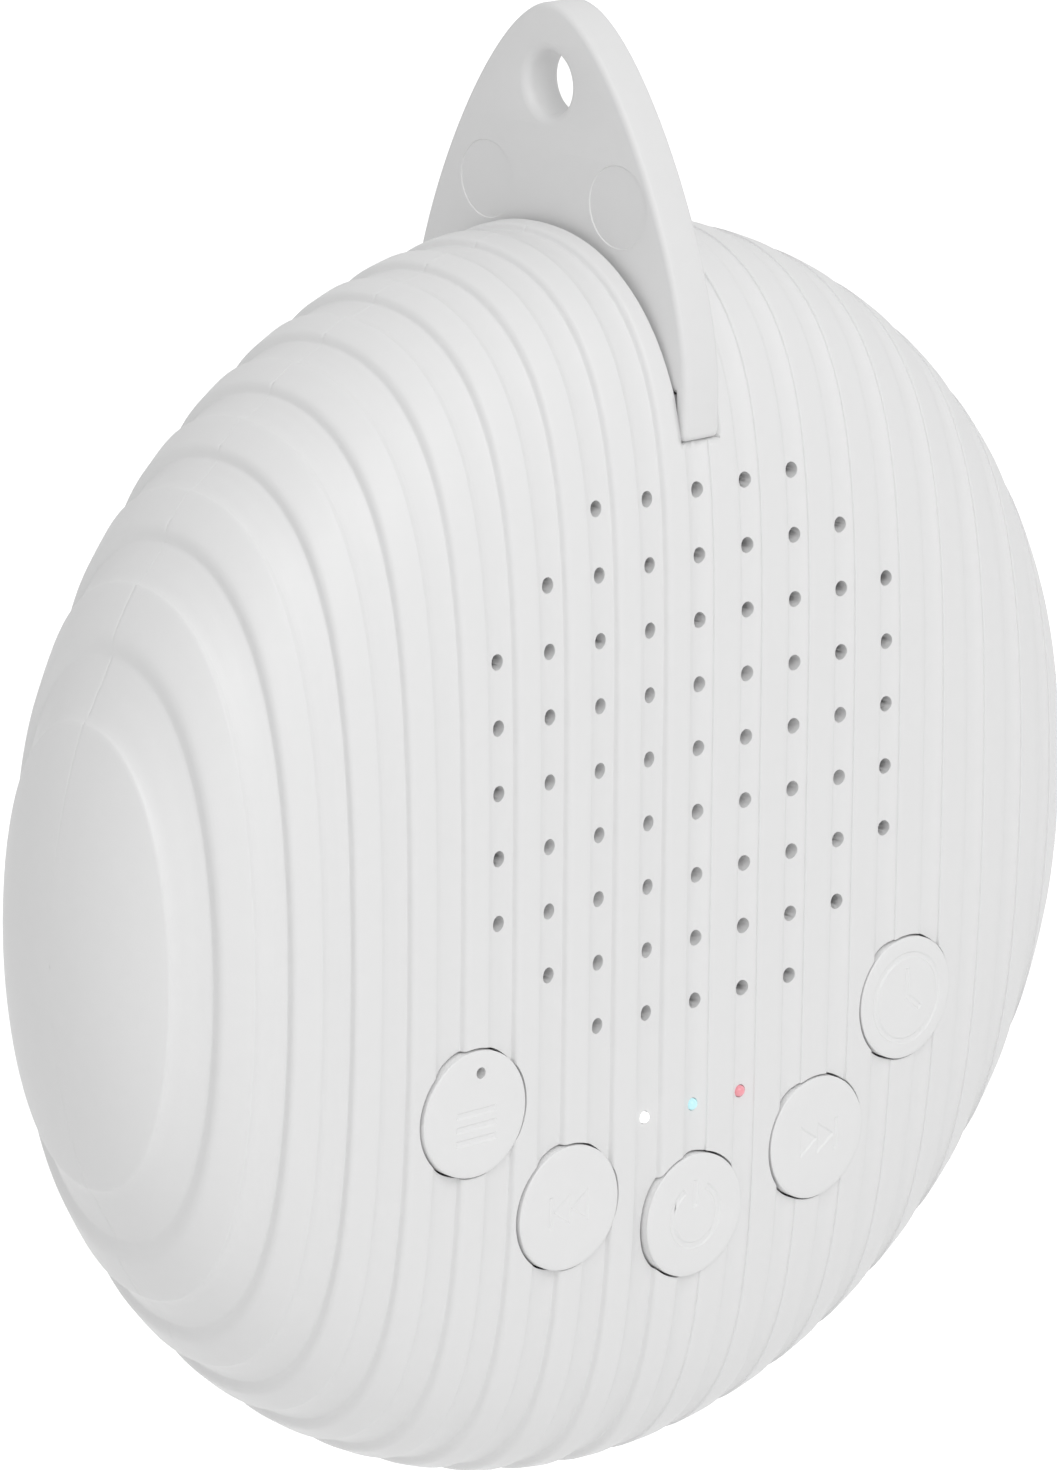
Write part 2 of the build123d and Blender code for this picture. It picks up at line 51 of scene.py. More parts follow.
# The pebble is turned about Y: (radius / body_radius) ** edge_power + (y / body_half_depth) **
# depth_power is 1 on its lands.
body_radius = 49.6
body_half_depth = 16.65
edge_power = 5.73
depth_power = 2.14
rib_pitch = 5.0
last_groove = 9
steepest_groove = 6
least_steepness = 0.65
end_turn, end_columns, end_gap = 89.7, 18, 0.3
core_turn, core_columns = 88.5, 119
seam_half_gap = 0.004
seam_chamfer = 0.02
seam_land = 0.3
rows_to_crest = 64
samples_to_crest, seam_crowding = 700, 4
pole_rise = 0.0005
skin_depth = 1.3
cad_depth = 1.1
button_circle = 26.0
button_step = 30
button_radius = 4.95
button_gap = 0.15
round_steps, wide_round_steps = 32, 96
grille_height = 11.25
hole_pitch = 5.0
hole_radius = 0.6
hole_reach = 22.7
holes_each_way = 4
hole_rear, hole_front = -13.0, -17.5
window_drop = 17.1
window_radius = 0.5
window_rear = -11.4
tab_half = 1.8
slot_gap = 0.15
slot_floor, slot_root, slot_top = 34.85, 38.45, 60.0
slot_inner, slot_outer = 14.3, 20.0
slot_lap = 0.1
slot_flare = ((slot_root, 0.0), (42.0, 0.22), (46.5, 0.5), (slot_top, 0.55))
cut_over = 0.02


def rib_columns():
    """Place and depth below the lands of each column, from the -X end of the body to its +X end."""
    # Each pair is a distance from the middle of a groove, towards the next one out, and a depth.
    soft_rise = [(0.0, 0.45), (0.35, 0.41), (0.7, 0.31), (0.95, 0.2), (1.1, 0.12), (1.2, 0.05),
                 (1.28, 0.012), (1.4, 0.0)]
    mild_fall = [(2.0, 0.0), (2.7, 0.0), (2.9, 0.0), (3.06, 0.012), (3.2, 0.045), (3.3, 0.1),
                 (3.39, 0.18), (3.47, 0.26), (3.55, 0.34), (3.63, 0.4), (3.7, 0.43), (3.8, 0.44),
                 (4.2, 0.44), (4.6, 0.45)]
    steep_fall = [(2.0, 0.0), (2.8, 0.0), (3.1, 0.0), (3.26, 0.012), (3.36, 0.045), (3.44, 0.11),
                  (3.485, 0.2), (3.5, 0.3), (3.51, 0.45), (3.52, 0.58), (3.56, 0.62), (3.7, 0.62),
                  (4.2, 0.6), (4.6, 0.56)]
    steep_rise = [(0.0, 0.45), (0.4, 0.42), (0.8, 0.31), (1.05, 0.22), (1.19, 0.18), (1.205, 0.15),
                  (1.215, 0.09), (1.235, 0.04), (1.28, 0.008), (1.4, 0.0)]
    soft_fall = [(2.0, 0.0), (3.0, 0.0), (3.7, 0.0), (3.86, 0.012), (3.98, 0.05), (4.07, 0.12),
                 (4.16, 0.22), (4.25, 0.32), (4.33, 0.38), (4.4, 0.41), (4.5, 0.43), (4.75, 0.445)]
    # On the left the falls go from mild to steep further out; on the right all are alike.
    left_walls = (soft_rise, mild_fall, steep_fall)
    right_walls = (steep_rise, soft_fall, soft_fall)
    halves = []
    for rise, near_fall, far_fall in (left_walls, right_walls):
        half = []
        for groove in range(last_groove):
            far = min(max(groove / steepest_groove, least_steepness), 1)
            half += [(groove * rib_pitch + x, depth) for x, depth in rise]
            for near, away in zip(near_fall, far_fall):
                x = groove * rib_pitch + near[0] + far * (away[0] - near[0])
                half.append((x, near[1] + far * (away[1] - near[1])))
        half += [(last_groove * rib_pitch + x, depth) for x, depth in rise]
        first = np.arcsin((half[-1][0] + end_gap) / body_radius)
        for turn in np.linspace(first, radians(end_turn), end_columns):
            half.append((body_radius * sin(turn), 0.0))
        halves.append(half)
    return [(-x, depth) for x, depth in reversed(halves[0][1:])] + halves[1]


def plain_columns(depth):
    """The same reach with no ribs, sunk by one depth."""
    turns = np.linspace(-radians(core_turn), radians(core_turn), core_columns)
    return [((body_radius - depth) * sin(turn), depth) for turn in turns]


def front_rows(columns):
    """Depth and height of each row on each column, from the top of the seam to its bottom."""
    x = np.array([column[0] for column in columns])[:, None]
    depth = np.array([column[1] for column in columns])[:, None]
    radius = body_radius - depth
    half = body_half_depth - depth
    top = np.sqrt(np.maximum(radius ** 2 - x ** 2, 1e-6))
    share = np.linspace(0, 1, samples_to_crest)[None, :] ** seam_crowding
    z = top * (1 - share)
    y = half * np.maximum(1 - (np.hypot(x, z) / radius) ** edge_power, 0) ** (1 / depth_power)
    run = np.concatenate([np.zeros_like(x), np.cumsum(np.hypot(np.diff(y), np.diff(z)), 1)], 1)
    rows_y, rows_z = [], []
    for column in range(len(columns)):
        length = run[column, -1]
        even = np.linspace(0, length, rows_to_crest)[1:]
        stops = np.concatenate([[0.0, seam_chamfer, seam_land], even])
        stops = np.minimum(np.sort(stops), length)
        rows_y.append(np.interp(stops, run[column], y[column]))
        rows_z.append(np.interp(stops, run[column], z[column]))
    y, z = np.array(rows_y), np.array(rows_z)
    return np.concatenate([y, y[:, -2::-1]], 1), np.concatenate([z, -z[:, -2::-1]], 1)


def as_piece(name, made):
    """An object in the scene from a finished mesh, with its faces turned outwards."""
    bmesh.ops.recalc_face_normals(made, faces=made.faces)
    mesh = bpy.data.meshes.new(name)
    made.to_mesh(mesh)
    made.free()
    piece = bpy.data.objects.new(name, mesh)
    bpy.context.collection.objects.link(piece)
    return piece


def pebble_mesh(name, columns, side):
    """Closed mesh of the pebble's front (-1), back (1) or whole (0) from its columns."""
    y, z = front_rows(columns)
    tip = side * seam_half_gap
    if side:
        y = side * np.maximum(y, seam_half_gap)
        for row in (0, -1):
            z[:, row] *= 1 - seam_chamfer / np.maximum(np.abs(z[:, row]), 1)
    else:
        y = np.concatenate([-y, y[:, -2:0:-1]], 1)
        z = np.concatenate([z, z[:, -2:0:-1]], 1)
    x = np.repeat(np.array([column[0] for column in columns])[:, None], y.shape[1], 1)
    count, rows = y.shape
    points = np.stack([x + centre_x, y, z + centre_z], 2).reshape(-1, 3) * mm
    end = columns[-1][0] + pole_rise
    poles = np.array([[centre_x - end, tip, centre_z], [centre_x + end, tip, centre_z]]) * mm
    faces = []
    for column in range(count - 1):
        start = column * rows
        for row in range(rows):
            after = (row + 1) % rows
            faces.append((start + row, start + after, start + rows + after, start + rows + row))
    last = (count - 1) * rows
    left, right = count * rows, count * rows + 1
    for row in range(rows):
        after = (row + 1) % rows
        faces.append((left, after, row))
        faces.append((right, last + row, last + after))
    mesh = bpy.data.meshes.new(name)
    mesh.from_pydata(np.concatenate([points, poles]).tolist(), [], faces)
    made = bmesh.new()
    made.from_mesh(mesh)
    bpy.data.meshes.remove(mesh)
    return as_piece(name, made)


def bridge(made, rings, steps):
    """Faces from each ring of points to the next, where a ring may be a single point."""
    for first, second in zip(rings, rings[1:]):
        for step in range(steps):
            after = (step + 1) % steps
            corners = [first[step % len(first)], first[after % len(first)],
                       second[after % len(second)], second[step % len(second)]]
            corners = list(dict.fromkeys(corners))
            if len(corners) > 2:
                made.faces.new(corners)


def lathe(name, outline, centre, steps=48, axis="Y"):
    """Closed turned mesh from (radius, along) points round an axis through the centre."""
    made = bmesh.new()
    rings = []
    for radius, along in outline:
        ring = []
        for step in range(steps if radius > 0 else 1):
            turn = 2 * pi * step / steps
            across, up = radius * cos(turn), radius * sin(turn)
            point = {"Y": (across, along, up), "X": (along, across, up), "Z": (across, up, along)}[axis]
            ring.append(made.verts.new((Vector(point) + Vector(centre)) * mm))
        rings.append(ring)
    bridge(made, rings, steps)
    for ring in (rings[0], rings[-1]):
        if len(ring) > 1:
            made.faces.new(ring)
    return as_piece(name, made)


def box_piece(name, low, high):
    """Closed box between two corners, in millimetres."""
    made = bmesh.new()
    bmesh.ops.create_cube(made, size=1)
    for vert in made.verts:
        vert.co = Vector([(a + b) / 2 + c * (b - a) for a, b, c in zip(low, high, vert.co)]) * mm
    return as_piece(name, made)


def prism(name, outline, low, high, axis="Z"):
    """Closed prism along an axis on an outline in the other two, between two distances."""
    made = bmesh.new()
    ends = []
    for along in (low, high):
        corners = [{"Z": (a, b, along), "Y": (a, along, b)}[axis] for a, b in outline]
        ends.append([made.verts.new(Vector(corner) * mm) for corner in corners])
        made.faces.new(ends[-1])
    bridge(made, ends, len(outline))
    return as_piece(name, made)


def copy_of_node(node, name):
    """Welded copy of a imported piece's mesh."""
    made = bmesh.new()
    made.from_mesh(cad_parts[node].data)
    bmesh.ops.remove_doubles(made, verts=made.verts, dist=1e-6)
    return as_piece(name, made)


def merged(name, pieces):
    """One object out of separate ones that don't touch."""
    made = bmesh.new()
    for piece in pieces:
        made.from_mesh(piece.data)
        bpy.data.objects.remove(piece)
    return as_piece(name, made)


def combine(piece, tools, operation):
    """Cut, join or keep what is shared with each tool in turn, then throw the tools away."""
    for tool in tools:
        change = piece.modifiers.new("join", "BOOLEAN")
        change.operation = operation
        change.solver = "MANIFOLD"
        change.object = tool
        graph = bpy.context.evaluated_depsgraph_get()
        mesh = bpy.data.meshes.new_from_object(piece.evaluated_get(graph))
        piece.modifiers.clear()
        old = piece.data
        piece.data = mesh
        bpy.data.meshes.remove(old)
        bpy.data.objects.remove(tool)


def smooth_edges(piece, degrees=32):
    """Drop faces without area, then shade smooth but crisp at edges sharper than the given turn."""
    made = bmesh.new()
    made.from_mesh(piece.data)
    bmesh.ops.dissolve_degenerate(made, dist=1e-7, edges=made.edges)
    made.to_mesh(piece.data)
    made.free()
    piece.data.shade_smooth()
    piece.data.set_sharp_from_angle(angle=radians(degrees))


def button_centres():
    """Middle of each button, left to right, about the body's centre."""
    turns = [radians(step * button_step) for step in (-2, -1, 0, 1, 2)]
    return [(button_circle * sin(turn), -button_circle * cos(turn)) for turn in turns]


def front_drill(name, radius, rear, x, z, steps=round_steps):
    """Cutter for a round hole in the front wall, placed about the body's centre."""
    outline = [(radius + cut_over, rear), (radius + cut_over, hole_front)]
    return lathe(name, outline, (centre_x + x, 0, centre_z + z), steps)


def tab_slot_cutters():
    """The tab's slot, shallow over each foot and right through above, flared on its -X side."""
    half = tab_half + slot_gap + cut_over
    floor, root, top = centre_z + slot_floor, centre_z + slot_root, centre_z + slot_top
    front = box_piece("slot", (-half, -slot_outer, floor), (half, -slot_inner, top))
    back = box_piece("slot", (-half, slot_inner, floor), (half, slot_outer, top))
    through = slot_inner + slot_lap
    middle = box_piece("slot", (-half, -through, root), (half, through, top))
    flare = [(-half + slot_lap, root)]
    flare += [(-half - wider, centre_z + height) for height, wider in slot_flare]
    flare.append((-half + slot_lap, top))
    return [front, back, middle, prism("slot", flare, -slot_outer, slot_outer, "Y")]


def shell(side, node):
    """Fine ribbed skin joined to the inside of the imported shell."""
    piece = pebble_mesh(node + "_skin", rib_columns(), side)
    combine(piece, [pebble_mesh("core", plain_columns(skin_depth), 0)], "DIFFERENCE")
    inside = copy_of_node(node, "inside")
    combine(inside, [pebble_mesh("core", plain_columns(cad_depth), 0)], "INTERSECT")
    combine(piece, [inside], "UNION")
    return piece


def surface(name, colour, shade, roughness, speck, relief, metal=0.0):
    """Material with a mottled colour, an uneven sheen and a fine raised grain."""
    specks_in_cloud = 12
    sheen_spread = 0.06
    made = bpy.data.materials.new(name)
    made.use_nodes = True
    nodes, links = made.node_tree.nodes, made.node_tree.links
    skin = nodes["Principled BSDF"]
    place = nodes.new("ShaderNodeTexCoord")
    cloud = nodes.new("ShaderNodeTexNoise")
    cloud.inputs["Scale"].default_value = speck / specks_in_cloud
    cloud.inputs["Detail"].default_value = 3
    links.new(place.outputs["Object"], cloud.inputs["Vector"])
    tint = nodes.new("ShaderNodeMix")
    tint.data_type = "RGBA"
    tint.inputs["A"].default_value = (*colour, 1)
    tint.inputs["B"].default_value = (*shade, 1)
    links.new(cloud.outputs["Fac"], tint.inputs["Factor"])
    links.new(tint.outputs["Result"], skin.inputs["Base Color"])
    grain = nodes.new("ShaderNodeTexNoise")
    grain.inputs["Scale"].default_value = speck
    grain.inputs["Detail"].default_value = 4
    links.new(place.outputs["Object"], grain.inputs["Vector"])
    sheen = nodes.new("ShaderNodeMapRange")
    sheen.inputs["To Min"].default_value = roughness - sheen_spread
    sheen.inputs["To Max"].default_value = roughness + sheen_spread
    links.new(grain.outputs["Fac"], sheen.inputs["Value"])
    links.new(sheen.outputs["Result"], skin.inputs["Roughness"])
    raised = nodes.new("ShaderNodeBump")
    raised.inputs["Strength"].default_value = 1.0
    raised.inputs["Distance"].default_value = relief * mm
    links.new(grain.outputs["Fac"], raised.inputs["Height"])
    links.new(raised.outputs["Normal"], skin.inputs["Normal"])
    skin.inputs["Metallic"].default_value = metal
    return made


def dress(piece, node, body, material):
    """A finished piece: its material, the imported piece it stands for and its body."""
    piece.name = node + "_skin"
    piece.data.materials.clear()
    piece.data.materials.append(material)
    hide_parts(node)
    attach(piece, body)


white_shell = surface("white_shell", (0.79, 0.79, 0.79), (0.81, 0.81, 0.81),
                      roughness=0.5, speck=9000, relief=0.006)
front_shell = shell(-1, "front_shell")
openings = []
hole_steps = range(-holes_each_way, holes_each_way + 1)
for column in hole_steps:
    for row in hole_steps:
        x, z = column * rib_pitch, row * hole_pitch
        if x * x + z * z <= hole_reach ** 2:
            openings.append(front_drill("hole", hole_radius, hole_rear, x, grille_height + z))
for x, z in button_centres():
    well_radius = button_radius + button_gap
    openings.append(front_drill("well", well_radius, hole_rear, x, z, wide_round_steps))
for step in (-1, 0, 1):
    openings.append(front_drill("window", window_radius, window_rear, step * rib_pitch, -window_drop))
combine(front_shell, [merged("openings", openings)] + tab_slot_cutters(), "DIFFERENCE")
smooth_edges(front_shell)
dress(front_shell, "front_shell", "housing", white_shell)

# ---- Back half of the case ---------------------------------------------------------------------
# The front half's twin in the same white ABS, closed on it by four screws from behind. It has the
# deep recesses of the screws and, underneath, the mouths of the charging socket and audio jack.
screw_circle, screw_turn = 42.5, radians(40)
recess_radius = 2.3
recess_floor, recess_mouth = 5.0, 18.0
socket_offset = 8.0
charge_straight, charge_round = 2.85, 1.9
charge_middle = 3.6
jack_middle = 4.5
jack_mouth_radius = 2.82
mouth_low, mouth_high = centre_z - 52, centre_z - 40
mouth_steps = 32
recess_steps = 64

back_shell = shell(1, "back_shell")
openings = []
for across, up in ((1, 1), (-1, 1), (-1, -1), (1, -1)):
    spot = (centre_x + across * screw_circle * cos(screw_turn), 0,
            centre_z + up * screw_circle * sin(screw_turn))
    recess = [(recess_radius + cut_over, recess_floor), (recess_radius + cut_over, recess_mouth)]
    openings.append(lathe("recess", recess, spot, recess_steps))
charge_mouth = []
for step in range(mouth_steps + 1):
    turn = -pi / 2 + pi * step / mouth_steps
    charge_mouth.append((centre_x - socket_offset + charge_straight + charge_round * cos(turn),
                         charge_middle + charge_round * sin(turn)))
charge_mouth += [(2 * centre_x - 2 * socket_offset - x, 2 * charge_middle - y) for x, y in charge_mouth]
openings.append(prism("charge_mouth", charge_mouth, mouth_low, mouth_high))
jack_mouth = [(jack_mouth_radius, mouth_low), (jack_mouth_radius, mouth_high)]
jack_spot = (centre_x + socket_offset, jack_middle, 0)
openings.append(lathe("jack_mouth", jack_mouth, jack_spot, recess_steps, "Z"))
combine(back_shell, [merged("openings", openings)] + tab_slot_cutters(), "DIFFERENCE")
smooth_edges(back_shell)
dress(back_shell, "back_shell", "housing", white_shell)

# ---- The hanging tab ---------------------------------------------------------------------------
# One 3.6 mm plate of the same white ABS, all its edges softly rounded. Its feet lie in slots
# in both halves and a cross bar under the top wall keeps it in. Round ejector marks on one face.
tab_edge = 0.5
tab_wide = 15.77
tab_foot_low, tab_root, tab_crest = 35.0, 38.6, 66.2
tab_foot_inner = 14.47
tab_foot_corner = 0.6
tab_fullness = 0.41
hang_hole = 2.4
hang_hole_round = 0.8
hang_hole_turn = 80
hang_hole_flare = 1.2, 0.25
ejector_marks = ((6.8, 51.8, 3.0), (-8.0, 51.75, 3.15))
mark_depth = 0.07
mark_foot, mark_lip, mark_lap = 0.03, 0.12, 0.1
bar_radius, bar_half, bar_chamfer = 2.5, 7.0, 0.3
bar_height = 42.0


def tab_outline():
    """Right half of the plate's edge from the crest down, then the foot, as (y, z) points."""
    shoulder = tab_root + (tab_crest - tab_root) / 3
    ends = [(0, tab_crest), (tab_fullness * tab_wide, tab_crest), (tab_wide, shoulder), (tab_wide, tab_root)]
    points = []
    steps = 60
    for step in range(steps + 1):
        t = step / steps
        weights = [(1 - t) ** 3, 3 * t * (1 - t) ** 2, 3 * t * t * (1 - t), t ** 3]
        points.append(tuple(sum(w * end[k] for w, end in zip(weights, ends)) for k in (0, 1)))
    for turn in range(0, 91, 15):
        angle = radians(turn)
        points.append((tab_wide - tab_foot_corner + tab_foot_corner * cos(angle),
                       tab_foot_low + tab_foot_corner - tab_foot_corner * sin(angle)))
    return points + [(tab_foot_inner, tab_foot_low), (tab_foot_inner, tab_root)]


half_edge = tab_outline()
edge = half_edge + [(-y, z) for y, z in reversed(half_edge[1:])]
line = bpy.data.curves.new("tab", "CURVE")
line.dimensions = "2D"
line.fill_mode = "BOTH"
line.extrude = (tab_half - tab_edge) * mm
line.bevel_depth = tab_edge * mm
line.bevel_resolution = 5
line.offset = -tab_edge * mm
spline = line.splines.new("POLY")
spline.points.add(len(edge) - 1)
for point, (y, z) in zip(spline.points, edge):
    point.co = (y * mm, z * mm, 0, 1)
spline.use_cyclic_u = True
plate = bpy.data.objects.new("tab_plate", line)
bpy.context.collection.objects.link(plate)
turned_up = Matrix(((0, 0, 1, 0), (1, 0, 0, 0), (0, 1, 0, centre_z * mm), (0, 0, 0, 1)))
mesh = bpy.data.meshes.new_from_object(plate.evaluated_get(bpy.context.evaluated_depsgraph_get()))
mesh.transform(turned_up)
bpy.data.objects.remove(plate)
made = bmesh.new()
made.from_mesh(mesh)
bmesh.ops.remove_doubles(made, verts=made.verts, dist=2e-6)
tab = as_piece("tab", made)
bore = []
for turn in range(0, hang_hole_turn + 1, 8):
    angle = radians(turn)
    across = tab_half - hang_hole_round + hang_hole_round * sin(angle)
    bore.append((hang_hole + hang_hole_round * (1 - cos(angle)), across))
bore.append((bore[-1][0] + hang_hole_flare[0], bore[-1][1] + hang_hole_flare[1]))
bore = [(radius, -across) for radius, across in reversed(bore)] + bore
combine(tab, [lathe("bore", bore, (0, 0, 0), wide_round_steps, "X")], "DIFFERENCE")
for y, z, radius in ejector_marks:
    mark = [(0.0, mark_depth - tab_half), (radius - mark_foot, mark_depth - tab_half),
            (radius + mark_lip, -tab_half - mark_lap), (0.0, -tab_half - mark_lap)]
    combine(tab, [lathe("mark", mark, (0, y, centre_z + z), wide_round_steps, "X")], "DIFFERENCE")
bar_face = bar_radius - bar_chamfer
bar_side = bar_half - bar_chamfer
bar = [(0, -bar_half), (bar_face, -bar_half), (bar_radius, -bar_side),
       (bar_radius, bar_side), (bar_face, bar_half), (0, bar_half)]
combine(tab, [lathe("bar", bar, (centre_x, 0, centre_z + bar_height), 64, "X")], "UNION")
smooth_edges(tab)
# The tab's white is set a little darker than the shell's: painted shade for its broad face, which is turned
# away from the light.
white_tab_painted_shade = surface("white_tab_painted_shade", (0.76, 0.76, 0.76), (0.78, 0.78, 0.78),
                    roughness=0.5, speck=9000, relief=0.006)
dress(tab, "hang_tab", "housing", white_tab_painted_shade)

# ---- The five push buttons ---------------------------------------------------------------------
# Separate white ABS caps that stand a little proud of the lands. Each slides in its well, held in
# by a flange, with its stem on the switch behind. Shallow signs are sunk in the faces.
button_proud = 0.35
furthest_front = 16.74
cap_round = 0.75
cap_fall = 0.15
cap_side = 0.8
flange_face, flange_rear = -13.25, -12.25
flange_radius = 5.85
cap_rear = -14.25
stem_tip = -4.4
stem_radius = 1.5
skirt_radius = 4.05
sign_depth = 0.1
sign_slope = 0.08
sign_rise, sign_lip = 0.2, 0.01
pinhole_radius = 0.45
pinhole_rear = -11.0
pinhole_across, pinhole_up = 0.4, 3.2


def face_depth(x, z):
    """How far forward a cap's face stands at a point."""
    share = np.hypot(x, z) / (body_radius + button_proud)
    front = (body_half_depth + button_proud) * (1 - share ** edge_power) ** (1 / depth_power)
    return -min(front, furthest_front)


def button_cap(name, x, z):
    """Closed turned mesh whose outer face follows the body's curve."""
    rings = [(radius, 0.0, True) for radius in (0.0, 1.2, 2.4, 3.4, 4.0)]
    for turn in range(0, 91, 15):
        angle = radians(turn)
        radius = button_radius - cap_round + cap_round * sin(angle)
        rings.append((radius, cap_fall * (1 - cos(angle)), True))
    rings += [(button_radius, cap_side, True), (button_radius, flange_face, False),
              (flange_radius, flange_face, False), (flange_radius, flange_rear, False),
              (skirt_radius, flange_rear, False), (skirt_radius, cap_rear, False),
              (stem_radius, cap_rear, False), (stem_radius, stem_tip, False), (0.0, stem_tip, False)]
    made = bmesh.new()
    loops = []
    steps = wide_round_steps
    for radius, depth, follows in rings:
        loop = []
        for step in range(steps if radius > 0 else 1):
            turn = 2 * pi * step / steps
            px, pz = x + radius * cos(turn), z + radius * sin(turn)
            py = face_depth(px, pz) + depth if follows else depth
            loop.append(made.verts.new(Vector((centre_x + px, py, centre_z + pz)) * mm))
        loops.append(loop)
    bridge(made, loops, steps)
    return as_piece(name, made)


def widened(outline, by):
    """An outline with every side moved outwards by a distance."""
    after = outline[1:] + outline[:1]
    area = sum(a[0] * b[1] - b[0] * a[1] for a, b in zip(outline, after))
    turn = 1 if area > 0 else -1
    moved = []
    for before, here, beyond in zip(outline[-1:] + outline[:-1], outline, after):
        first = (Vector(here) - Vector(before)).normalized()
        second = (Vector(beyond) - Vector(here)).normalized()
        out = Vector((first.y + second.y, -first.x - second.x)) * turn
        moved.append(tuple(Vector(here) + out * 2 * by / max(out.length_squared, 0.5)))
    return moved


def sunk(name, outline, x, z):
    """Cutter with sloped sides for a shallow sign; the outline is (x, z) about the cap's middle."""
    made = bmesh.new()
    rings = []
    for by, depth in ((sign_slope, -sign_rise), (sign_slope, -sign_lip), (-sign_slope, sign_depth)):
        ring = []
        for a, b in widened(outline, by):
            px, pz = x + a, z + b
            py = face_depth(px, pz) + depth
            ring.append(made.verts.new(Vector((centre_x + px, py, centre_z + pz)) * mm))
        rings.append(ring)
    made.faces.new(rings[0])
    made.faces.new(rings[-1])
    bridge(made, rings, len(outline))
    bmesh.ops.triangulate(made, faces=[face for face in made.faces if len(face.verts) > 4])
    return as_piece(name, made)


def stroke(ax, az, bx, bz, width):
    """Outline of a straight stroke between two points."""
    along = Vector((bx - ax, bz - az)).normalized() * width / 2
    side = Vector((-along.y, along.x))
    first, last = Vector((ax, az)) - along, Vector((bx, bz)) + along
    return [tuple(first + side), tuple(first - side), tuple(last - side), tuple(last + side)]


def arc_stroke(radius, start, end, width):
    """Outline of a round stroke between two angles in degrees."""
    steps = 40
    turns = [radians(start + (end - start) * step / steps) for step in range(steps + 1)]
    outer = [((radius + width / 2) * cos(turn), (radius + width / 2) * sin(turn)) for turn in turns]
    inner = [((radius - width / 2) * cos(turn), (radius - width / 2) * sin(turn)) for turn in reversed(turns)]
    return outer + inner


def arrow(tip, back, half):
    """Outline of a solid triangle that points along X."""
    return [(tip, 0.0), (back, half), (back, -half)]


bars = [stroke(-1.7, height, 1.7, height, 0.45) for height in (0.2, -0.9, -2.0)]
ring_halves = [arc_stroke(3.5, -4, 184, 0.45), arc_stroke(3.5, 176, 364, 0.45)]
signs = {
    "source": bars,
    "previous": [stroke(-1.95, -1.1, -1.95, 1.1, 0.3), arrow(-1.7, 0.0, 1.2), arrow(0.1, 1.8, 1.2)],
    "power": [arc_stroke(2.4, 118, 422, 0.5), stroke(0.0, 1.0, 0.0, 2.6, 0.5)],
    "next": [arrow(-0.1, -1.8, 1.2), arrow(1.7, 0.0, 1.2), stroke(1.95, -1.1, 1.95, 1.1, 0.3)],
    "timer": ring_halves + [stroke(0.0, 0.2, 0.0, 2.2, 0.4), stroke(0.2, 0.0, 1.3, -0.9, 0.4)],
}
white_button = surface("white_button", (0.8, 0.8, 0.8), (0.82, 0.82, 0.82),
                       roughness=0.42, speck=9000, relief=0.004)
for name, (x, z) in zip(signs, button_centres()):
    cap = button_cap(name, x, z)
    combine(cap, [sunk("sign", outline, x, z) for outline in signs[name]], "DIFFERENCE")
    if name == "source":
        pinhole = [(pinhole_radius, pinhole_rear), (pinhole_radius, hole_front)]
        spot = (centre_x + x + pinhole_across, 0, centre_z + z + pinhole_up)
        combine(cap, [lathe("pinhole", pinhole, spot, round_steps)], "DIFFERENCE")
    smooth_edges(cap)
    dress(cap, name + "_button", name + "_key", white_button)

# ---- Light guide -------------------------------------------------------------------------------
# One clear acrylic moulding in front of the board's lights: a bar with three pins, whose rounded
# ends show in the little windows between the ribs. They light white, pale blue and red.
pin_radius = 0.46
pin_face = -16.55
pin_root = 0.3
guide_back, guide_front = -0.9, -2.1
guide_half = 6.2
guide_low, guide_high = centre_z - 18.3, centre_z - 15.9
pin_steps = 40
guide_crease = 35
lit_from = -15.0
glow_shade = 0.85

guide = box_piece("guide", (centre_x - guide_half, guide_front, guide_low),
                  (centre_x + guide_half, guide_back, guide_high))
pins = []
for step in (-1, 0, 1):
    outline = [(0.0, guide_front + pin_root), (pin_radius, guide_front + pin_root)]
    for turn in range(0, 91, 15):
        angle = radians(turn)
        outline.append((pin_radius * cos(angle), pin_face + pin_radius - pin_radius * sin(angle)))
    spot = (centre_x + step * rib_pitch, 0, centre_z - window_drop)
    pins.append(lathe("pin", outline, spot, pin_steps))
combine(guide, pins, "UNION")
smooth_edges(guide, guide_crease)
guide_clear = surface("guide_clear", (0.9, 0.92, 0.92), (0.86, 0.88, 0.88),
                      roughness=0.2, speck=4000, relief=0.002)
dress(guide, "light_guide", "housing", guide_clear)
for name, colour, glow in (("white_glow", (0.8, 0.8, 0.8), (0.8, 0.8, 0.8)),
                           ("blue_glow", (0.14, 0.27, 0.29), (0.44, 0.67, 0.7)),
                           ("red_glow", (0.55, 0.22, 0.24), (0.4, 0.15, 0.18))):
    lit = surface(name, colour, [glow_shade * part for part in colour],
                  roughness=0.25, speck=4000, relief=0.002)
    skin = lit.node_tree.nodes["Principled BSDF"]
    skin.inputs["Emission Color"].default_value = (*glow, 1)
    skin.inputs["Emission Strength"].default_value = 1.0
    guide.data.materials.append(lit)
for face in guide.data.polygons:
    if face.center.y < lit_from * mm:
        face.material_index = 2 + round((face.center.x / mm - centre_x) / rib_pitch)

# ---- Speaker -----------------------------------------------------------------------------------
# A small round driver behind the grille: steel basket, paper cone and dust cap, copper coil and a
# ferrite magnet between steel plates. Foam seals it and black cloth covers it. All as packed.


def keep_packed(nodes, material):
    """Pieces that carry over from the CAD as they are, in one material."""
    for node in nodes:
        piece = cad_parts[node]
        piece.data.materials.clear()
        piece.data.materials.append(material)


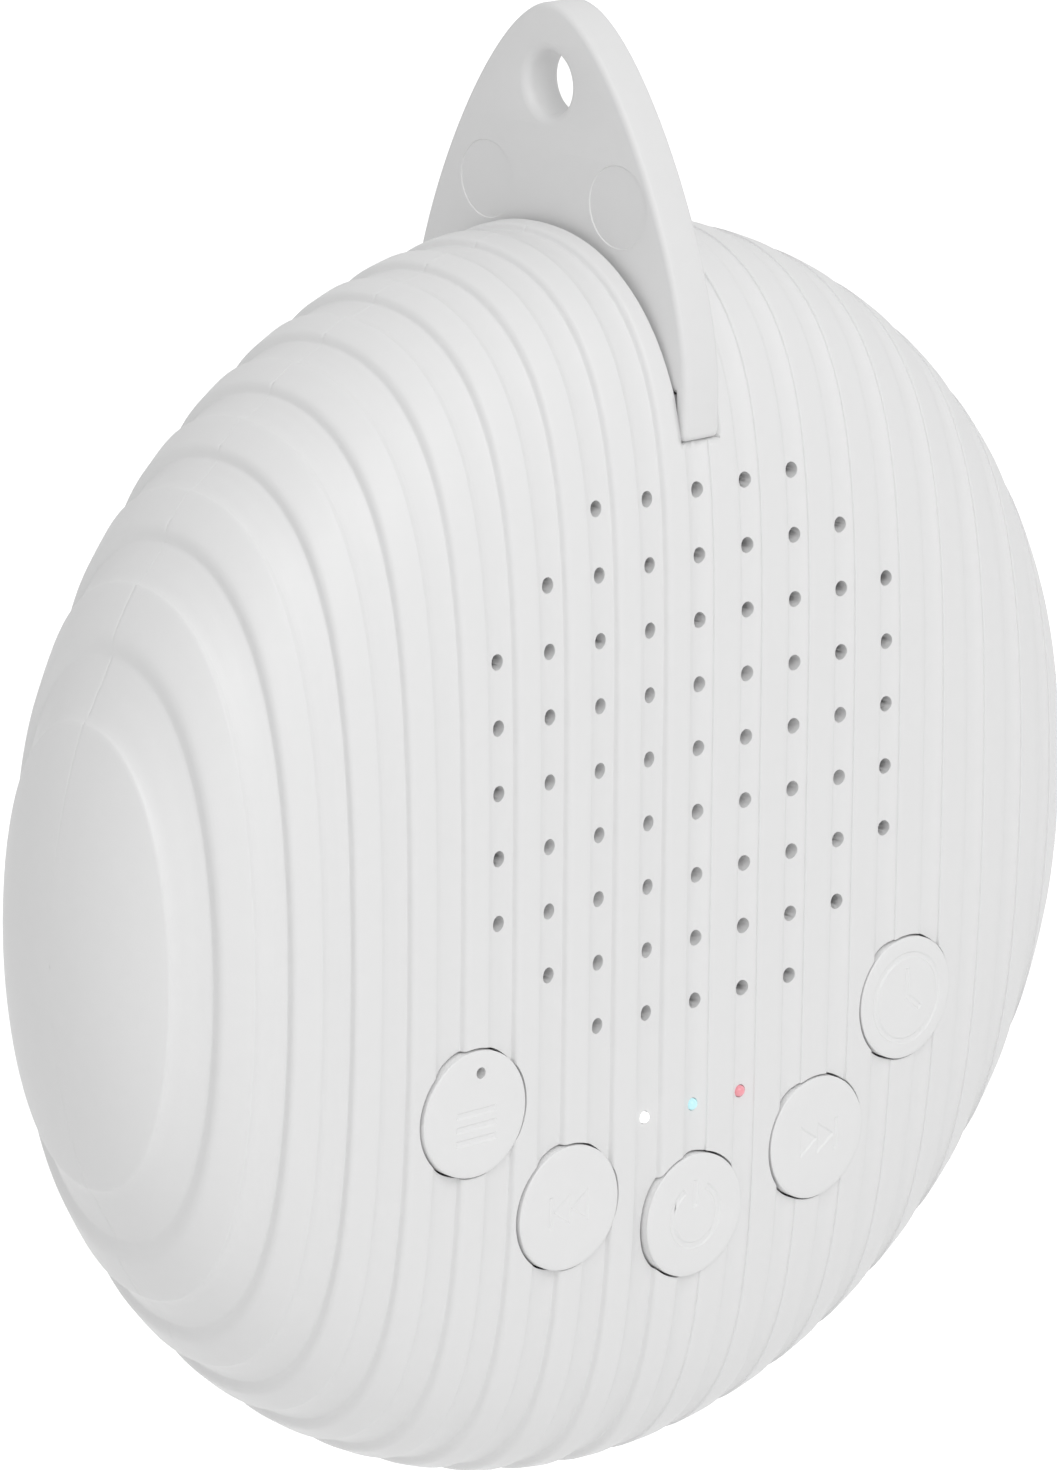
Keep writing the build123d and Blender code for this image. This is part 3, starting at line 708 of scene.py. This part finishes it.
cloth_black = surface("cloth_black", (0.01, 0.01, 0.01), (0.022, 0.022, 0.022),
                      roughness=0.9, speck=4000, relief=0.08)
keep_packed(["grille_cloth"], cloth_black)
foam_black = surface("foam_black", (0.02, 0.02, 0.02), (0.04, 0.04, 0.04),
                     roughness=0.95, speck=2500, relief=0.1)
keep_packed(["speaker_gasket"], foam_black)
basket_steel = surface("basket_steel", (0.5, 0.5, 0.5), (0.42, 0.42, 0.42),
                       roughness=0.35, speck=900, relief=0.02, metal=1.0)
keep_packed(["speaker_basket", "top_plate", "yoke"], basket_steel)
cone_paper = surface("cone_paper", (0.03, 0.03, 0.03), (0.06, 0.06, 0.058),
                     roughness=0.8, speck=1800, relief=0.06)
keep_packed(["speaker_cone", "dust_cap"], cone_paper)
coil_copper = surface("coil_copper", (0.75, 0.33, 0.17), (0.6, 0.24, 0.12),
                      roughness=0.3, speck=3000, relief=0.03, metal=1.0)
keep_packed(["voice_coil"], coil_copper)
magnet_ferrite = surface("magnet_ferrite", (0.05, 0.05, 0.052), (0.09, 0.09, 0.09),
                         roughness=0.65, speck=1200, relief=0.03)
keep_packed(["magnet"], magnet_ferrite)

# ---- Circuit board -----------------------------------------------------------------------------
# Green glass-fibre board across the case, with a push switch and its plunger behind each button,
# three little lights behind the guide and two chips soldered on. All as packed.
board_green = surface("board_green", (0.02, 0.13, 0.05), (0.03, 0.2, 0.08),
                      roughness=0.4, speck=1500, relief=0.02)
keep_packed(["main_board"], board_green)
light_body = surface("light_body", (0.85, 0.83, 0.7), (0.9, 0.88, 0.8),
                     roughness=0.35, speck=3000, relief=0.01)
keep_packed(["indicator_lights"], light_body)
chip_black = surface("chip_black", (0.02, 0.02, 0.022), (0.035, 0.035, 0.037),
                     roughness=0.55, speck=6000, relief=0.01)
keep_packed(["sound_chip", "amplifier_chip"], chip_black)
keep_packed([name + "_switch" for name in signs], chip_black)
plunger_white = surface("plunger_white", (0.75, 0.75, 0.72), (0.7, 0.7, 0.67),
                        roughness=0.4, speck=4000, relief=0.01)
keep_packed([name + "_plunger" for name in signs], plunger_white)

# ---- Sockets -----------------------------------------------------------------------------------
# A steel charging socket and a black moulded audio jack on the board's lower edge. The jack's
# round nose is cut short here, so that its flat end stays inside the groove it crosses.
jack_end = centre_z - 46.9
trim_half, trim_thick, trim_high = 4.0, 9.0, 5.0
socket_steel = surface("socket_steel", (0.6, 0.6, 0.6), (0.5, 0.5, 0.5),
                       roughness=0.25, speck=1200, relief=0.01, metal=1.0)
keep_packed(["charge_socket"], socket_steel)
jack_black = surface("jack_black", (0.012, 0.012, 0.012), (0.02, 0.02, 0.02),
                     roughness=0.45, speck=5000, relief=0.01)
jack = copy_of_node("audio_jack", "jack")
trim = box_piece("trim", (centre_x + socket_offset - trim_half, 0.0, jack_end - trim_high),
                 (centre_x + socket_offset + trim_half, trim_thick, jack_end))
combine(jack, [trim], "DIFFERENCE")
smooth_edges(jack)
dress(jack, "audio_jack", "housing", jack_black)

# ---- Battery and screws ------------------------------------------------------------------------
# A foil-wrapped flat cell behind the board on a foam pad, four screws that close the case from
# behind and the small ones that hold the board. All as packed.
cell_foil = surface("cell_foil", (0.62, 0.63, 0.64), (0.52, 0.53, 0.54),
                    roughness=0.32, speck=500, relief=0.06, metal=1.0)
keep_packed(["battery"], cell_foil)
keep_packed(["battery_pad"], foam_black)
screw_steel = surface("screw_steel", (0.62, 0.6, 0.56), (0.5, 0.48, 0.45),
                      roughness=0.3, speck=1500, relief=0.02, metal=1.0)
keep_packed(["shell_screws", "board_screws"], screw_steel)

# ---- Floor, light and camera -------------------------------------------------------------------
# A pale floor under the body, an even white room that is a little brighter in front, and a long
# lens from the upper left.
floor_half = 3
floor_drop = 0.12
floor_grey = 0.94
floor_glow = 0.66
room_level = 0.795
room_lean = (0.035, -0.04, -0.02)
softbox_spot = (-0.2, -0.58, 0.44)
softbox_width, softbox_power = 0.6, 2.3
azimuth, elevation, roll = radians(-41.8003), radians(15.3119), radians(0.4745)
camera_distance = 540.2
camera_lens = 170.52
aim_point = Vector((centre_x - 1.454, 1.395, centre_z + 8.765))


def backdrop_rays(nodes, links, ray):
    """One for rays that show the backdrop itself: from the camera, a gloss or a clear part."""
    total = ray.outputs["Is Camera Ray"]
    for kind in ("Is Glossy Ray", "Is Transmission Ray"):
        more = nodes.new("ShaderNodeMath")
        more.operation = "MAXIMUM"
        links.new(total, more.inputs[0])
        links.new(ray.outputs[kind], more.inputs[1])
        total = more.outputs["Value"]
    return total


floor_mesh = bpy.data.meshes.new("floor")
floor_corners = [(a * floor_half, b * floor_half, 0) for a, b in ((-1, -1), (1, -1), (1, 1), (-1, 1))]
floor_mesh.from_pydata(floor_corners, [], [(0, 1, 2, 3)])
floor = bpy.data.objects.new("floor", floor_mesh)
floor.location.z = (centre_z - body_radius) * mm - floor_drop
bpy.context.collection.objects.link(floor)
pale = bpy.data.materials.new("pale_floor")
pale.use_nodes = True
nodes, links = pale.node_tree.nodes, pale.node_tree.links
nodes.clear()
out = nodes.new("ShaderNodeOutputMaterial")
matt = nodes.new("ShaderNodeBsdfDiffuse")
matt.inputs["Color"].default_value = (floor_grey, floor_grey, floor_grey, 1)
glow = nodes.new("ShaderNodeEmission")
glow.inputs["Strength"].default_value = floor_glow
both = nodes.new("ShaderNodeAddShader")
choose = nodes.new("ShaderNodeMixShader")
ray = nodes.new("ShaderNodeLightPath")
links.new(matt.outputs["BSDF"], both.inputs[0])
links.new(glow.outputs["Emission"], both.inputs[1])
links.new(backdrop_rays(nodes, links, ray), choose.inputs["Fac"])
links.new(matt.outputs["BSDF"], choose.inputs[1])
links.new(both.outputs["Shader"], choose.inputs[2])
links.new(choose.outputs["Shader"], out.inputs["Surface"])
floor_mesh.materials.append(pale)

world = bpy.data.worlds.new("room")
bpy.context.scene.world = world
world.use_nodes = True
nodes, links = world.node_tree.nodes, world.node_tree.links
nodes.clear()
out = nodes.new("ShaderNodeOutputWorld")
place = nodes.new("ShaderNodeTexCoord")
lean = nodes.new("ShaderNodeVectorMath")
lean.operation = "DOT_PRODUCT"
lean.inputs[1].default_value = room_lean
level = nodes.new("ShaderNodeMath")
level.operation = "ADD"
level.inputs[1].default_value = room_level
room = nodes.new("ShaderNodeBackground")
white = nodes.new("ShaderNodeBackground")
white.inputs["Strength"].default_value = 1.0
white.inputs["Color"].default_value = (1, 1, 1, 1)
ray = nodes.new("ShaderNodeLightPath")
choose = nodes.new("ShaderNodeMixShader")
links.new(place.outputs["Generated"], lean.inputs[0])
links.new(lean.outputs["Value"], level.inputs[0])
links.new(level.outputs["Value"], room.inputs["Strength"])
links.new(backdrop_rays(nodes, links, ray), choose.inputs["Fac"])
links.new(room.outputs["Background"], choose.inputs[1])
links.new(white.outputs["Background"], choose.inputs[2])
links.new(choose.outputs["Shader"], out.inputs["Surface"])

softbox_data = bpy.data.lights.new("front_softbox", "AREA")
softbox_data.shape = "DISK"
softbox_data.size = softbox_width
softbox_data.energy = softbox_power
softbox = bpy.data.objects.new("front_softbox", softbox_data)
bpy.context.collection.objects.link(softbox)
softbox.location = softbox_spot
to_body = Vector((0, 0, centre_z * mm)) - softbox.location
softbox.rotation_euler = to_body.to_track_quat("-Z", "Y").to_euler()

camera_data = bpy.data.cameras.new("camera")
camera_data.sensor_width = 36.0
camera_data.lens = camera_lens
camera_data.clip_start, camera_data.clip_end = 0.05, 20
camera = bpy.data.objects.new("camera", camera_data)
bpy.context.collection.objects.link(camera)
ahead = Vector((-sin(azimuth) * cos(elevation), cos(azimuth) * cos(elevation), -sin(elevation)))
right = Vector((cos(azimuth), sin(azimuth), 0))
up = right.cross(ahead)
across = right * cos(roll) + up * sin(roll)
upward = up * cos(roll) - right * sin(roll)
spot = (aim_point - ahead * camera_distance) * mm
camera.matrix_world = Matrix(((across.x, upward.x, -ahead.x, spot.x), (across.y, upward.y, -ahead.y, spot.y),
                              (across.z, upward.z, -ahead.z, spot.z), (0, 0, 0, 1)))
bpy.context.scene.camera = camera
bpy.context.scene.view_settings.view_transform = "Standard"
